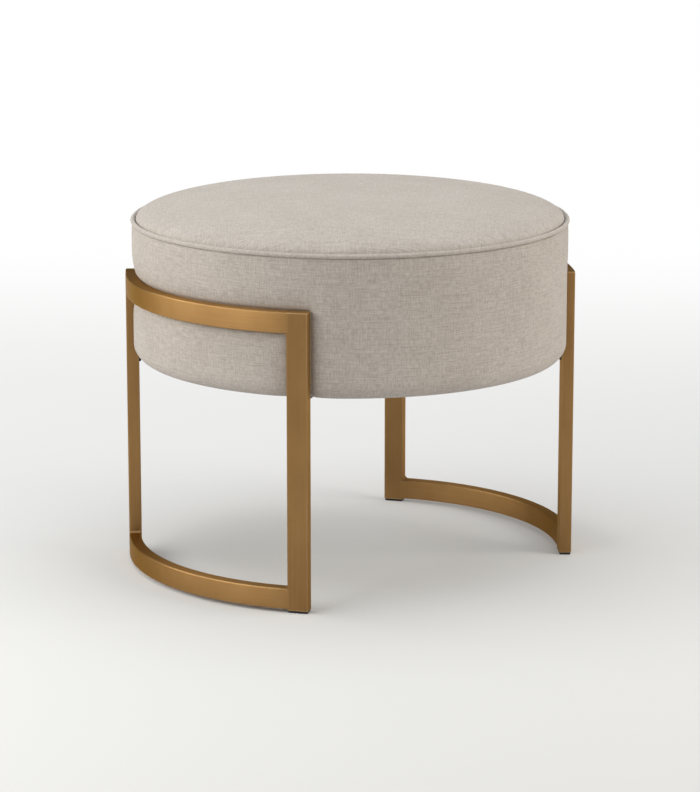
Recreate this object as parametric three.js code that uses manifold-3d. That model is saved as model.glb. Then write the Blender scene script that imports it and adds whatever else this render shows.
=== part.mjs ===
// Vanity stool: a round upholstered drum seat held between two half-moon frames of brass-coloured tube.
// Millimetres, +Z up. The origin is on the floor under the seat's centre, and +X runs through the middle
// of the right frame. The left frame is the right one turned half a turn about Z.
import * as THREE from "three";
import { mergeVertices } from "three/addons/utils/BufferGeometryUtils.js";
import Module from "manifold-3d";

const wasm = await Module();
wasm.setup();

// Driving dimensions of the frames. Their curve and height follow from the seat that they clasp.
const frame_spread = THREE.MathUtils.degToRad(71.6); // angle that each rail covers
const tube_width = 25; // along the leg's face, and the height of a rail
const tube_depth = 15; // from the outer face to the seat
const tube_wall = 1.5;
const tube_corner = 2;
const frame_grip = 7; // how deep the tubes press into the seat's side
const frame_drop = 64; // from the middle of the piping down to the legs' tops

// Driving dimensions of the seat
const seat_bottom = 250; // underside of the upholstery above the floor
const seat_side = 168; // from the underside to the middle of the piping
const seat_radius = 263; // free side of the upholstery
const seat_edge = 20.5; // rounding of the lower edge
const crown_height = 29.5; // rise of the top above the piping
const piping_diameter = 5.5;
const piping_set_in = 1.7; // from the free side to the middle of the piping
const padding_thickness = 30; // cloth, padding and air between the free side and the drum
const foam_height = 65.6; // of the top foam, up to the middle of the piping
const cloth = 1.2;

// Driving dimensions of the boards inside
const board = 12;
const hoop_wall = 4;
const post_side = 30;
const post_inset = 3; // from the hoop's inner face
const post_count = 6;

// Clearances
const fit = 0.3; // between pieces that lie against each other
const overrun = 5; // how far a cutting shape reaches past what it cuts

// Facets
const round_steps = 48;
const small_steps = 12;
const screw_steps = 8;
const rail_steps = 16;

// Heights and radii that follow from the sizes above
const drum_radius = seat_radius - padding_thickness;
const piping_radius = seat_radius - piping_set_in;
const rail_inner_radius = seat_radius - frame_grip;
const frame_radius = rail_inner_radius + tube_depth;
const rail_path_radius = frame_radius - tube_depth / 2;
const joint_angle = frame_spread / 2;
const crown_base = seat_bottom + seat_side;
const frame_height = crown_base - frame_drop;
const boxing_top = crown_base - piping_diameter / 2 - fit;
const base_bottom = seat_bottom + cloth + fit;
const base_top = base_bottom + board;
const post_bottom = base_top + fit;
const foam_bottom = crown_base - foam_height;
const deck_top = foam_bottom - fit;
const deck_bottom = deck_top - board;
const post_height = deck_bottom - fit - post_bottom;

function finish(colour, roughness, metalness) {
  return () => new THREE.MeshStandardMaterial({ color: colour, roughness, metalness });
}

const brass = finish(0xb08a4e, 0.38, 1);
const linen = finish(0xcfc6b8, 0.95, 0);
const black_plastic = finish(0x17130f, 0.6, 0);
const black_steel = finish(0x1d1c1b, 0.5, 0.6);
const zinc = finish(0xb9bcc0, 0.35, 1);
const plywood = finish(0xc39b6a, 0.75, 0);
const timber = finish(0xd2b07c, 0.7, 0);
const foam = finish(0xe9dfb8, 1, 0);
const black_felt = finish(0x1b1a1a, 1, 0);

// Moving shapes between buffer geometry and solids that can be joined and cut

function merged(geometry) {
  const bare = geometry.clone();
  bare.deleteAttribute("normal");
  bare.deleteAttribute("uv");
  const joined = mergeVertices(bare);
  const corners = joined.index.array;
  const kept = [];
  for (let i = 0; i < corners.length; i += 3) {
    const [a, b, c] = [corners[i], corners[i + 1], corners[i + 2]];
    if (a !== b && b !== c && c !== a) {
      kept.push(a, b, c);
    }
  }
  joined.setIndex(kept);
  return joined;
}

function solid(geometry) {
  const closed = merged(geometry);
  const vertProperties = Float32Array.from(closed.attributes.position.array);
  const triVerts = Uint32Array.from(closed.index.array);
  return new wasm.Manifold(new wasm.Mesh({ numProp: 3, vertProperties, triVerts }));
}

function shown(body) {
  const mesh = body.getMesh();
  const geometry = new THREE.BufferGeometry();
  geometry.setAttribute("position", new THREE.BufferAttribute(Float32Array.from(mesh.vertProperties), 3));
  geometry.setIndex(Array.from(mesh.triVerts));
  return geometry;
}

function cut(geometry, tools) {
  let body = solid(geometry);
  for (const tool of tools) {
    body = body.subtract(solid(tool));
  }
  return shown(body);
}

function add_piece(group, name, geometry, material) {
  const faceted = merged(geometry).toNonIndexed();
  faceted.computeVertexNormals();
  const mesh = new THREE.Mesh(faceted, material());
  mesh.name = name;
  group.add(mesh);
  return mesh;
}

// Shapes that several pieces use

// A profile of [radius, height] pairs, turned about Z. It runs up the outside.
function turned(profile, steps) {
  const points = profile.map(([radius, height]) => new THREE.Vector2(radius, height));
  return new THREE.LatheGeometry(points, steps).rotateX(Math.PI / 2);
}

function disc(radius, bottom, thickness, steps) {
  const top = bottom + thickness;
  return turned([[0, bottom], [radius, bottom], [radius, top], [0, top]], steps);
}

function ring(inner, outer, bottom, thickness, steps) {
  const top = bottom + thickness;
  return turned([[inner, bottom], [outer, bottom], [outer, top], [inner, top], [inner, bottom]], steps);
}

function plate(shape, bottom, thickness) {
  const options = { depth: thickness, bevelEnabled: false, curveSegments: 1 };
  return new THREE.ExtrudeGeometry(shape, options).translate(0, 0, bottom);
}

// A rectangle about the origin with rounded corners
function rounded(width, depth, corner) {
  const x = width / 2;
  const y = depth / 2;
  const shape = new THREE.Shape();
  shape.moveTo(x, corner - y);
  shape.lineTo(x, y - corner);
  shape.absarc(x - corner, y - corner, corner, 0, Math.PI / 2);
  shape.lineTo(corner - x, y);
  shape.absarc(corner - x, y - corner, corner, Math.PI / 2, Math.PI);
  shape.lineTo(-x, corner - y);
  shape.absarc(corner - x, corner - y, corner, Math.PI, 1.5 * Math.PI);
  shape.lineTo(x - corner, -y);
  shape.absarc(x - corner, corner - y, corner, 1.5 * Math.PI, 2 * Math.PI);
  return shape;
}

function rectangle(width, depth) {
  const x = width / 2;
  const y = depth / 2;
  return new THREE.Shape([[x, -y], [x, y], [-x, y], [-x, -y]].map(([a, b]) => new THREE.Vector2(a, b)));
}

// Half-moon frames: rectangular tube, each rail rolled to the seat's curve and butted to its legs

const leg_bottom = 3; // the glide's foot fills this
const rail_lift = 1; // of the lower rails above the legs' ends
const bore_width = tube_width - 2 * tube_wall;
const bore_depth = tube_depth - 2 * tube_wall;

class RailArc extends THREE.Curve {
  constructor(radius, half_angle, height) {
    super();
    Object.assign(this, { radius, half_angle, height });
  }

  getPoint(share, target = new THREE.Vector3()) {
    const angle = THREE.MathUtils.lerp(-this.half_angle, this.half_angle, share);
    return target.set(this.radius * Math.cos(angle), this.radius * Math.sin(angle), this.height);
  }
}

// The section stands upright on the path, so its first size is the rail's height
function rail(middle_height) {
  const section = rounded(tube_width, tube_depth, tube_corner);
  section.holes.push(rectangle(bore_width, bore_depth));
  const half_angle = joint_angle - fit / rail_path_radius;
  const extrudePath = new RailArc(rail_path_radius, half_angle, middle_height);
  return new THREE.ExtrudeGeometry(section, { steps: rail_steps, curveSegments: 1, extrudePath });
}

// A leg stands past the rail's end, its outer face flush with the rail's and its top closed
function leg() {
  const tube = plate(rounded(tube_depth, tube_width, tube_corner), leg_bottom, frame_height - leg_bottom);
  const bore_bottom = leg_bottom - overrun;
  const bore_height = frame_height - tube_wall - bore_bottom;
  return cut(tube, [plate(rectangle(bore_depth, bore_width), bore_bottom, bore_height)]);
}

// Glides: a foot under the tube's end, and a plug pressed up inside it

const foot_inset = 0.8; // from the tube's faces
const foot_chamfer = 1;
const plug_height = 16;

function glide() {
  const depth = tube_depth - 2 * foot_inset;
  const width = tube_width - 2 * foot_inset;
  const foot_height = leg_bottom - fit;
  const inset = 2 * foot_chamfer;
  const outline = rounded(depth - inset, width - inset, tube_corner / 2);
  const bevel = { bevelThickness: foot_chamfer, bevelSize: foot_chamfer, bevelSegments: 1 };
  const options = { depth: foot_height - inset, curveSegments: 1, ...bevel };
  const foot = new THREE.ExtrudeGeometry(outline, options).translate(0, 0, foot_chamfer);
  const plug_depth = bore_depth - 2 * fit;
  const plug_width = bore_width - 2 * fit;
  const plug_bottom = foot_height - foot_chamfer;
  const plug = plate(rectangle(plug_depth, plug_width), plug_bottom, plug_height);
  return shown(solid(foot).add(solid(plug)));
}

// Seat brackets: a flat tab welded to each leg, bolted up into a tee nut in the base board

const felt = 0.8;
const tab_thickness = 3;
const tab_width = 15;
const tab_reach = 81; // from the leg's inner face
const bolt_radius = 3;
const bolt_setback = 11; // from the tab's free end
const bolt_hole_radius = 3.6;
const bolt_head_radius = 5.2;
const bolt_head_height = 3.8;
const washer_radius = 6.5;
const washer_thickness = 1.6;
const nut_flange_radius = 9.5;
const nut_flange = 1.3;
const nut_barrel_radius = 4.2;
const nut_barrel_length = 9;

const felt_bottom = seat_bottom - fit - felt;
const tab_bottom = felt_bottom - fit - tab_thickness;
const washer_bottom = tab_bottom - fit - washer_thickness;
const head_bottom = washer_bottom - fit - bolt_head_height;
const nut_bore_radius = bolt_radius + fit;
const bolt_at = rail_inner_radius - tab_reach + bolt_setback; // outwards from the seat's centre
const leg_middle = tube_width / 2; // sideways from the rail's end
const tab_offset = 3; // from the leg's middle towards the rail, out of sight from the front
const tab_middle = leg_middle - tab_offset;

function tab() {
  const end = rail_inner_radius - tab_reach;
  const half = tab_width / 2;
  const shape = new THREE.Shape();
  shape.moveTo(rail_inner_radius - fit, half);
  shape.lineTo(end + half, half);
  shape.absarc(end + half, 0, half, Math.PI / 2, 1.5 * Math.PI);
  shape.lineTo(rail_inner_radius - fit, -half);
  const hole = new THREE.Path();
  hole.absarc(bolt_at, 0, bolt_hole_radius, 0, 2 * Math.PI);
  shape.holes.push(hole);
  const options = { depth: tab_thickness, bevelEnabled: false, curveSegments: small_steps / 2 };
  return new THREE.ExtrudeGeometry(shape, options).translate(0, 0, tab_bottom);
}

function washer() {
  return ring(nut_bore_radius, washer_radius, washer_bottom, washer_thickness, small_steps);
}

// A button-head bolt, its tip level with the top of the tee nut
function bolt() {
  const tip = base_top + fit + nut_flange;
  const head_top = head_bottom + bolt_head_height;
  const crown_radius = bolt_head_radius / 2;
  const shoulder = head_bottom + bolt_head_height / 2;
  return turned([
    [0, head_bottom],
    [crown_radius, head_bottom],
    [bolt_head_radius, shoulder],
    [bolt_head_radius, head_top],
    [bolt_radius, head_top],
    [bolt_radius, tip],
    [0, tip],
  ], small_steps);
}

function tee_nut() {
  const flange_bottom = base_top + fit;
  const barrel_bottom = flange_bottom - nut_barrel_length;
  return turned([
    [nut_bore_radius, barrel_bottom],
    [nut_barrel_radius, barrel_bottom],
    [nut_barrel_radius, flange_bottom],
    [nut_flange_radius, flange_bottom],
    [nut_flange_radius, flange_bottom + nut_flange],
    [nut_bore_radius, flange_bottom + nut_flange],
    [nut_bore_radius, barrel_bottom],
  ], small_steps);
}

// Each leg's place is given in the frame group: side is -1 for the leg in front, 1 for the one behind
function add_leg_set(group, names, side) {
  const corner = new THREE.Group();
  corner.rotation.z = side * joint_angle;
  group.add(corner);
  const along = side * leg_middle;
  add_piece(corner, names.leg, leg(), brass).position.set(rail_path_radius, along, 0);
  add_piece(corner, names.glide, glide(), black_plastic).position.set(rail_path_radius, along, 0);
  const tab_along = side * tab_middle;
  add_piece(corner, names.tab, tab(), black_steel).position.set(0, tab_along, 0);
  add_piece(corner, names.washer, washer(), zinc).position.set(bolt_at, tab_along, 0);
  add_piece(corner, names.bolt, bolt(), zinc).position.set(bolt_at, tab_along, 0);
  add_piece(corner, names.nut, tee_nut(), zinc).position.set(bolt_at, tab_along, 0);
}

function leg_names(where) {
  return {
    leg: `${where}_leg`,
    glide: `${where}_glide`,
    tab: `${where}_seat_tab`,
    washer: `${where}_washer`,
    bolt: `${where}_seat_bolt`,
    nut: `${where}_tee_nut`,
  };
}

function half_moon(side, front, back) {
  const group = new THREE.Group();
  add_piece(group, `${side}_upper_rail`, rail(frame_height - tube_width / 2), brass);
  add_piece(group, `${side}_lower_rail`, rail(leg_bottom + rail_lift + tube_width / 2), brass);
  add_leg_set(group, leg_names(`${side}_${front}`), -1);
  add_leg_set(group, leg_names(`${side}_${back}`), 1);
  return group;
}

// Drum: base board and deck board, a bent hoop between them, and posts screwed through both boards

const screw_radius = 2;
const screw_head_radius = 4.2;
const screw_head_height = 3;
const screw_length = 34;

const post_reach = drum_radius - hoop_wall - post_inset - post_side / 2;

function wood_screw() {
  return turned([
    [0, -screw_length],
    [screw_radius, -screw_length + screw_radius],
    [screw_radius, -screw_head_height],
    [screw_head_radius, 0],
    [0, 0],
  ], screw_steps);
}

// The hole is as much wider as the fit, and open past the head
function screw_hole() {
  const depth = screw_length + 2 * fit;
  const head_radius = screw_head_radius + fit;
  const hole_radius = screw_radius + fit;
  return turned([
    [0, -depth],
    [hole_radius, screw_radius - depth],
    [hole_radius, -screw_head_height],
    [head_radius, 0],
    [head_radius, overrun],
    [0, overrun],
  ], screw_steps);
}

function post_places() {
  const places = [];
  for (let i = 0; i < post_count; i += 1) {
    const angle = (2 * Math.PI * i) / post_count;
    places.push([post_reach * Math.cos(angle), post_reach * Math.sin(angle), angle]);
  }
  return places;
}

function from_below(geometry, x, y) {
  return geometry.rotateX(Math.PI).translate(x, y, base_bottom);
}

function from_above(geometry, x, y) {
  return geometry.translate(x, y, deck_top);
}

function bolt_places() {
  const places = [];
  for (const half_turn of [0, Math.PI]) {
    for (const side of [-1, 1]) {
      const angle = half_turn + side * joint_angle;
      const place = new THREE.Vector2(bolt_at, side * tab_middle).rotateAround(new THREE.Vector2(), angle);
      places.push([place.x, place.y]);
    }
  }
  return places;
}

function bolt_cut(radius, bottom, thickness) {
  const height = thickness + 2 * overrun;
  return bolt_places().map(([x, y]) => disc(radius, bottom - overrun, height, small_steps).translate(x, y, 0));
}

function base_board() {
  const screws = post_places().map(([x, y]) => from_below(screw_hole(), x, y));
  const bolts = bolt_cut(nut_barrel_radius + fit, base_bottom, board);
  return cut(disc(drum_radius, base_bottom, board, round_steps), [...screws, ...bolts]);
}

function deck_board() {
  const screws = post_places().map(([x, y]) => from_above(screw_hole(), x, y));
  return cut(disc(drum_radius, deck_bottom, board, round_steps), screws);
}

function post(x, y, angle) {
  const block = new THREE.BoxGeometry(post_side, post_side, post_height);
  block.rotateZ(angle).translate(x, y, post_bottom + post_height / 2);
  return cut(block, [from_below(screw_hole(), x, y), from_above(screw_hole(), x, y)]);
}

function add_drum(group) {
  add_piece(group, "base_board", base_board(), plywood);
  add_piece(group, "deck_board", deck_board(), plywood);
  const hoop = ring(drum_radius - hoop_wall, drum_radius, post_bottom, post_height, round_steps);
  add_piece(group, "side_hoop", hoop, plywood);
  post_places().forEach(([x, y, angle], i) => {
    const number = i + 1;
    add_piece(group, `post_${number}`, post(x, y, angle), timber);
    add_piece(group, `base_screw_${number}`, from_below(wood_screw(), x, y), zinc);
    add_piece(group, `deck_screw_${number}`, from_above(wood_screw(), x, y), zinc);
  });
}

// Side of the upholstery: a soft wall that the upper rails and the legs press in

const press_margin = 1; // the pressed band reaches this far past a tube
const press_ease = 12; // and comes back to the free side over this
const seam_draw = 1; // the side is drawn in under the piping
const seam_draw_height = 8;
const turn_under = 20; // cloth folded in under the base board
const foam_lip = 5; // the top foam reaches out over the side padding
const rail_span_steps = 4;
const open_span_steps = 6;
const edge_turns = [Math.PI / 6, Math.PI / 3, Math.PI / 2];

const press_depth = frame_grip + fit;
const ease_angle = press_ease / seat_radius;
const leg_end_angle = joint_angle + Math.atan2(tube_width, rail_inner_radius);
const press_top = frame_height + press_margin;
const press_bottom = frame_height - tube_width - press_margin;
const edge_top = seat_bottom + seat_edge;

// 1 at a distance of zero or less, 0 from the ease on, and smooth between
function ramp(distance, ease) {
  return 1 - THREE.MathUtils.smoothstep(distance, 0, ease);
}

function press(angle, height) {
  const fold = Math.atan2(Math.abs(Math.sin(angle)), Math.abs(Math.cos(angle)));
  const past_leg = ramp(fold - leg_end_angle, ease_angle);
  const before_leg = ramp(joint_angle - fold, ease_angle);
  const above = ramp(height - press_top, press_ease);
  const below = ramp(press_bottom - height, press_ease);
  return press_depth * past_leg * above * Math.max(below, before_leg);
}

// A point of the soft side, a given distance in under its surface
function side_point(angle, height, inset) {
  const drop = Math.max(0, edge_top - height);
  const turn = Math.asin(Math.min(1, drop / seat_edge));
  const edge = seat_edge - inset;
  const draw_share = Math.max(0, 1 - (boxing_top - height) / seam_draw_height);
  const free = seat_radius - inset - seam_draw * draw_share - edge * (1 - Math.cos(turn));
  return [free - press(angle, height), drop > 0 ? edge_top - edge * Math.sin(turn) : height];
}

// Heights where the side's shape changes, from the given top down to the underside
function side_heights(top) {
  const edges = edge_turns.map((turn) => edge_top - seat_edge * Math.sin(turn));
  const press_heights = [press_top + press_ease, press_top, press_bottom, press_bottom - press_ease];
  const all = [top, boxing_top - seam_draw_height, ...press_heights, edge_top, ...edges];
  return all.filter((height) => height <= top).sort((a, b) => b - a);
}

function span(start, end, steps) {
  return Array.from({ length: steps }, (_, i) => start + ((end - start) * i) / steps);
}

// Angles where the side's shape changes, once round
function side_angles() {
  const quarter = [
    ...span(0, joint_angle - ease_angle, rail_span_steps),
    joint_angle - ease_angle,
    joint_angle,
    leg_end_angle,
    ...span(leg_end_angle + ease_angle, Math.PI / 2, open_span_steps),
  ];
  const mirrored = quarter.slice(1).map((angle) => Math.PI - angle).reverse();
  const half = [...quarter, Math.PI / 2, ...mirrored];
  return [...half, ...half.map((angle) => angle + Math.PI)];
}

// One closed solid from a section that changes round the circle. The section is a loop of
// [radius, height] pairs that runs down the outside and back up the inside. Every face is split
// from its upper corner here to its lower corner on the next section, so that nested rings stay clear.
function soft_ring(section_at) {
  const sections = side_angles().map((angle) => ({ angle, loop: section_at(angle) }));
  const rows = sections[0].loop.length;
  const positions = [];
  for (const { angle, loop } of sections) {
    for (const [radius, height] of loop) {
      positions.push(radius * Math.cos(angle), radius * Math.sin(angle), height);
    }
  }
  const triangles = [];
  for (let i = 0; i < sections.length; i += 1) {
    const here = i * rows;
    const next = ((i + 1) % sections.length) * rows;
    for (let j = 0; j < rows; j += 1) {
      const after = (j + 1) % rows;
      const rising = sections[i].loop[after][1] > sections[i].loop[j][1];
      triangles.push(here + j, here + after, next + (rising ? j : after));
      triangles.push(next + j, here + (rising ? after : j), next + after);
    }
  }
  const geometry = new THREE.BufferGeometry();
  geometry.setAttribute("position", new THREE.Float32BufferAttribute(positions, 3));
  geometry.setIndex(triangles);
  return geometry;
}

function boxing() {
  const heights = side_heights(boxing_top);
  const hem = drum_radius - turn_under;
  return soft_ring((angle) => {
    const outside = heights.map((height) => side_point(angle, height, 0));
    const inside = heights.map((height) => side_point(angle, height, cloth)).reverse();
    return [...outside, [hem, seat_bottom], [hem, seat_bottom + cloth], ...inside];
  });
}

// Clear of the drum even where its flat facets cut inside the circle
function padding_bore() {
  const angles = side_angles();
  const widest = Math.max(...angles.slice(1).map((angle, i) => angle - angles[i]));
  return (drum_radius + fit) / Math.cos(widest / 2);
}

function side_padding() {
  const top = crown_base - foam_lip - fit;
  const heights = side_heights(top);
  const bore = padding_bore();
  return soft_ring((angle) => {
    const outside = heights.map((height) => side_point(angle, height, cloth + fit));
    return [...outside, [bore, base_bottom], [bore, top]];
  });
}

// Top of the upholstery: a crowned panel over crowned foam, sewn to the side with a piped seam

const crown_steps = 6;
const crown_side_share = 2 / 3; // powers of the crown's superellipse
const crown_top_share = 0.88;
const piping_steps = 8;

// Points of the crown from its rim up to the axis, a given distance in under its surface
function crown(inset) {
  const reach = piping_radius - piping_diameter / 2 - fit - inset;
  const rise = crown_height - inset;
  const points = [];
  for (let i = 0; i <= crown_steps; i += 1) {
    const turn = (Math.PI / 2) * (i / crown_steps);
    const radius = i === crown_steps ? 0 : reach * Math.cos(turn) ** crown_side_share;
    points.push([radius, crown_base + rise * Math.sin(turn) ** crown_top_share]);
  }
  return points;
}

function top_panel() {
  return turned([...crown(cloth).reverse(), ...crown(0)], round_steps);
}

function seat_foam() {
  const lip_bottom = crown_base - foam_lip;
  const surface = crown(cloth + fit);
  const [rim] = surface[0];
  const block = [[0, foam_bottom], [drum_radius, foam_bottom], [drum_radius, lip_bottom], [rim, lip_bottom]];
  return turned([...block, ...surface], round_steps);
}

function piping() {
  const radius = piping_diameter / 2;
  const points = [];
  for (let i = 0; i <= piping_steps; i += 1) {
    const turn = (2 * Math.PI * i) / piping_steps;
    points.push([piping_radius + radius * Math.cos(turn), crown_base + radius * Math.sin(turn)]);
  }
  return turned(points, round_steps);
}

function add_upholstery(group) {
  add_piece(group, "side_padding", side_padding(), foam);
  add_piece(group, "seat_foam", seat_foam(), foam);
  add_piece(group, "boxing", boxing(), linen);
  add_piece(group, "top_panel", top_panel(), linen);
  add_piece(group, "piping", piping(), linen);
  const cover_radius = drum_radius - turn_under / 2;
  const cover = cut(
    disc(cover_radius, felt_bottom, felt, round_steps),
    bolt_cut(bolt_hole_radius, felt_bottom, felt),
  );
  add_piece(group, "dust_cover", cover, black_felt);
}

// The whole stool

const stool = new THREE.Group();
stool.add(half_moon("right", "front", "back"));
const left_frame = half_moon("left", "back", "front");
left_frame.rotation.z = Math.PI;
stool.add(left_frame);
add_drum(stool);
add_upholstery(stool);

export default stool;
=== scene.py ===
import bmesh
import bpy
import math
from mathutils import Matrix, Vector, noise


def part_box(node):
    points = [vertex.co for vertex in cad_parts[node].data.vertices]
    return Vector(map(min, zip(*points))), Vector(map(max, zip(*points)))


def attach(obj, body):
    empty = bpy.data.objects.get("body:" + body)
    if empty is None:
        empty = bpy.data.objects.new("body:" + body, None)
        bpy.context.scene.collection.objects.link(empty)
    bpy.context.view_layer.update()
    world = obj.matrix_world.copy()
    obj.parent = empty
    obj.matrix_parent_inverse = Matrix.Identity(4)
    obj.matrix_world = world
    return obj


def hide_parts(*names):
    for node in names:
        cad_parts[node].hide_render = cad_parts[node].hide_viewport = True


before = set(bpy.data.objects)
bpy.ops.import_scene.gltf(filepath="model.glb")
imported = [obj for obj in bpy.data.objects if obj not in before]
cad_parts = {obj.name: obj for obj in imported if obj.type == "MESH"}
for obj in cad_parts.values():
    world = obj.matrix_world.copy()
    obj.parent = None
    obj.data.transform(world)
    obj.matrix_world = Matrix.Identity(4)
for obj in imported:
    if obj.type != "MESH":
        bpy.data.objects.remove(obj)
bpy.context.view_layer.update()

# Rails. Each half-moon frame has an upper and a lower rail of 25 by 15 mm steel tube, rolled to the
# seat's curve, brass plated and then brushed along its length. A rail ends just inside the rounded
# edge of each leg, where the weld is ground flush with the outer face.

upper_low, upper_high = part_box("right_upper_rail")
lower_low, lower_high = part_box("right_lower_rail")
tube_width = upper_high.z - upper_low.z
tube_depth = 0.6 * tube_width
tube_corner = 0.08 * tube_width
tube_wall = 0.06 * tube_width
corner_steps = 5
rail_steps = 72
frame_radius = upper_high.x
path_radius = frame_radius - tube_depth / 2
frame_top = upper_high.z
joint_angle = math.asin(upper_high.y / frame_radius)
weld_run = 0.9 * tube_corner
weld_run_shares = (0.80, 0.15, 0.05)


def start_modelling():
    if bpy.context.object and bpy.context.object.mode != "OBJECT":
        bpy.ops.object.mode_set(mode="OBJECT")
    bpy.ops.object.select_all(action="DESELECT")


def select_only(piece):
    start_modelling()
    piece.select_set(True)
    bpy.context.view_layer.objects.active = piece


def set_up(thing, **settings):
    for setting, value in settings.items():
        setattr(thing, setting, value)
    return thing


def apply_modifier(piece, kind, **settings):
    select_only(piece)
    step = set_up(piece.modifiers.new(kind.lower(), kind), **settings)
    bpy.ops.object.modifier_apply(modifier=step.name)


def edit(piece):
    bpy.context.view_layer.objects.active = piece
    if piece.mode != "EDIT":
        bpy.ops.object.mode_set(mode="EDIT")


def pick(piece, kind, wanted=lambda part: True):
    edit(piece)
    bpy.ops.mesh.select_mode(type=kind)
    bpy.ops.mesh.select_all(action="DESELECT")
    mesh = bmesh.from_edit_mesh(piece.data)
    parts = {"VERT": mesh.verts, "EDGE": mesh.edges, "FACE": mesh.faces}[kind]
    for part in parts:
        if wanted(part):
            part.select_set(True)
    mesh.select_flush_mode()
    bmesh.update_edit_mesh(piece.data)


# Picks the faces that look up (1) or down (-1), give or take 25 degrees
def pick_level(piece, up):
    pick(piece, "FACE", lambda face: up * face.normal.z > 0.9)


def middle(part):
    return sum((vert.co for vert in part.verts), Vector()) / len(part.verts)


# The primitive just added, with its place, turn and scale taken into its mesh
def settled():
    bpy.ops.object.transform_apply(location=True, rotation=True, scale=True)
    return bpy.context.object


def add_block(size, place):
    start_modelling()
    bpy.ops.mesh.primitive_cube_add(size=1.0, location=place)
    bpy.context.object.scale = size
    return settled()


def draw_out(move):
    bpy.ops.mesh.extrude_region_move(TRANSFORM_OT_translate={"value": move})


def tidy_faces(piece, smooth_below=35):
    edit(piece)
    bpy.ops.mesh.select_all(action="SELECT")
    bpy.ops.mesh.remove_doubles(threshold=1e-6)
    bpy.ops.mesh.normals_make_consistent(inside=False)
    select_only(piece)
    bpy.ops.object.shade_smooth_by_angle(angle=math.radians(smooth_below))


def copy_of(piece, move=Matrix.Identity(4)):
    copied = piece.copy()
    copied.data = piece.data.copy()
    bpy.context.collection.objects.link(copied)
    copied.data.transform(move)
    return copied


def finish_piece(piece, name, material, node=None):
    piece.name = name
    piece.data.materials.clear()
    piece.data.materials.append(material)
    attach(piece, "root")
    if node:
        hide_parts(node)


# A map in metres, from each face corner's place and its face's direction
def map_metres(piece, layer_name, place_on_map):
    layer = piece.data.uv_layers.new(name=layer_name)
    for face in piece.data.polygons:
        for corner in face.loop_indices:
            point = piece.data.vertices[piece.data.loops[corner].vertex_index].co
            layer.data[corner].uv = place_on_map(point, face)


def new_material(name, colour, roughness, metallic=0.0):
    material = bpy.data.materials.new(name)
    material.use_nodes = True
    shader = material.node_tree.nodes["Principled BSDF"]
    shader.inputs["Base Color"].default_value = (*colour, 1.0)
    shader.inputs["Roughness"].default_value = roughness
    shader.inputs["Metallic"].default_value = metallic
    return material, material.node_tree, shader


# A node's outputs. Each input is given a number, a colour or a direction, or another node's output.
def add_node(tree, kind, inputs=None, **settings):
    node = set_up(tree.nodes.new(kind), **settings)
    for label, value in (inputs or {}).items():
        socket = node.inputs[label]
        if isinstance(value, (int, float)):
            socket.default_value = value
        elif isinstance(value, tuple):
            socket.default_value = (*value, 1.0) if socket.type == "RGBA" else value
        else:
            tree.links.new(value, socket)
    return node.outputs


def new_group(name, inputs, outputs):
    group = bpy.data.node_groups.new(name, "ShaderNodeTree")
    for in_out, sockets in (("INPUT", inputs), ("OUTPUT", outputs)):
        for label, kind in sockets.items():
            group.interface.new_socket(label, in_out=in_out, socket_type=f"NodeSocket{kind}")
    return group, add_node(group, "NodeGroupInput")


def object_place(tree):
    return add_node(tree, "ShaderNodeTexCoord")["Object"]


def mapped_place(tree, layer_name):
    return add_node(tree, "ShaderNodeUVMap", uv_map=layer_name)["UV"]


# Noise with its own number of spots to the metre in each direction
def spots(tree, place, per_metre, detail=2.0):
    scaled = add_node(tree, "ShaderNodeMapping", {"Vector": place, "Scale": per_metre})["Vector"]
    return add_node(tree, "ShaderNodeTexNoise", {"Vector": scaled, "Scale": 1.0, "Detail": detail})["Fac"]


def remap(tree, value, low, high, to_low=0.0, to_high=1.0):
    return add_node(tree, "ShaderNodeMapRange", {
        "Value": value, "From Min": low, "From Max": high, "To Min": to_low, "To Max": to_high})["Result"]


def maths(tree, operation, first, second=0.0):
    return add_node(tree, "ShaderNodeMath", {0: first, 1: second}, operation=operation)["Value"]


def times(tree, first, second):
    return maths(tree, "MULTIPLY", first, second)


def add_up(tree, total, *terms):
    for term in terms:
        total = maths(tree, "ADD", total, term)
    return total


def blend(tree, share, first, second):
    return add_node(tree, "ShaderNodeMix", {"Factor": share, 6: first, 7: second}, data_type="RGBA")[2]


# Two tones that take turns in patches, and the patches' own noise
def mottling_group():
    group, given = new_group("mottling", {
        "Place": "Vector", "Patches to the metre": "Vector", "Detail": "Float", "From": "Float",
        "To": "Float", "First tone": "Color", "Second tone": "Color",
    }, {"Color": "Color", "Noise": "Float"})
    patches = spots(group, given["Place"], given["Patches to the metre"], given["Detail"])
    share = remap(group, patches, given["From"], given["To"])
    colour = blend(group, share, given["First tone"], given["Second tone"])
    add_node(group, "NodeGroupOutput", {"Color": colour, "Noise": patches})
    return group


# How far a sharp edge is paled, by wear and, on the brass, by a painted highlight: none at the first
# pointiness, and the most at the second
def edge_wear_and_highlight_group():
    group, given = new_group("edge_wear_and_highlight", {
        "From": "Float", "To": "Float", "Most": "Float"}, {"Mask": "Float"})
    edges = add_node(group, "ShaderNodeNewGeometry")["Pointiness"]
    worn = remap(group, edges, given["From"], given["To"], 0.0, given["Most"])
    add_node(group, "NodeGroupOutput", {"Mask": worn})
    return group


mottling = mottling_group()
edge_wear_and_highlight = edge_wear_and_highlight_group()


def mottled(tree, place, per_metre, detail, first, second, low=0.35, high=0.65):
    made = add_node(tree, "ShaderNodeGroup", {
        "Place": place, "Patches to the metre": per_metre, "Detail": detail, "From": low, "To": high,
        "First tone": first, "Second tone": second,
    }, node_tree=mottling)
    return made["Color"], made["Noise"]


def worn_and_highlit_edges(tree, low, high, most=1.0):
    wear = {"From": low, "To": high, "Most": most}
    return add_node(tree, "ShaderNodeGroup", wear, node_tree=edge_wear_and_highlight)["Mask"]


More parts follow.
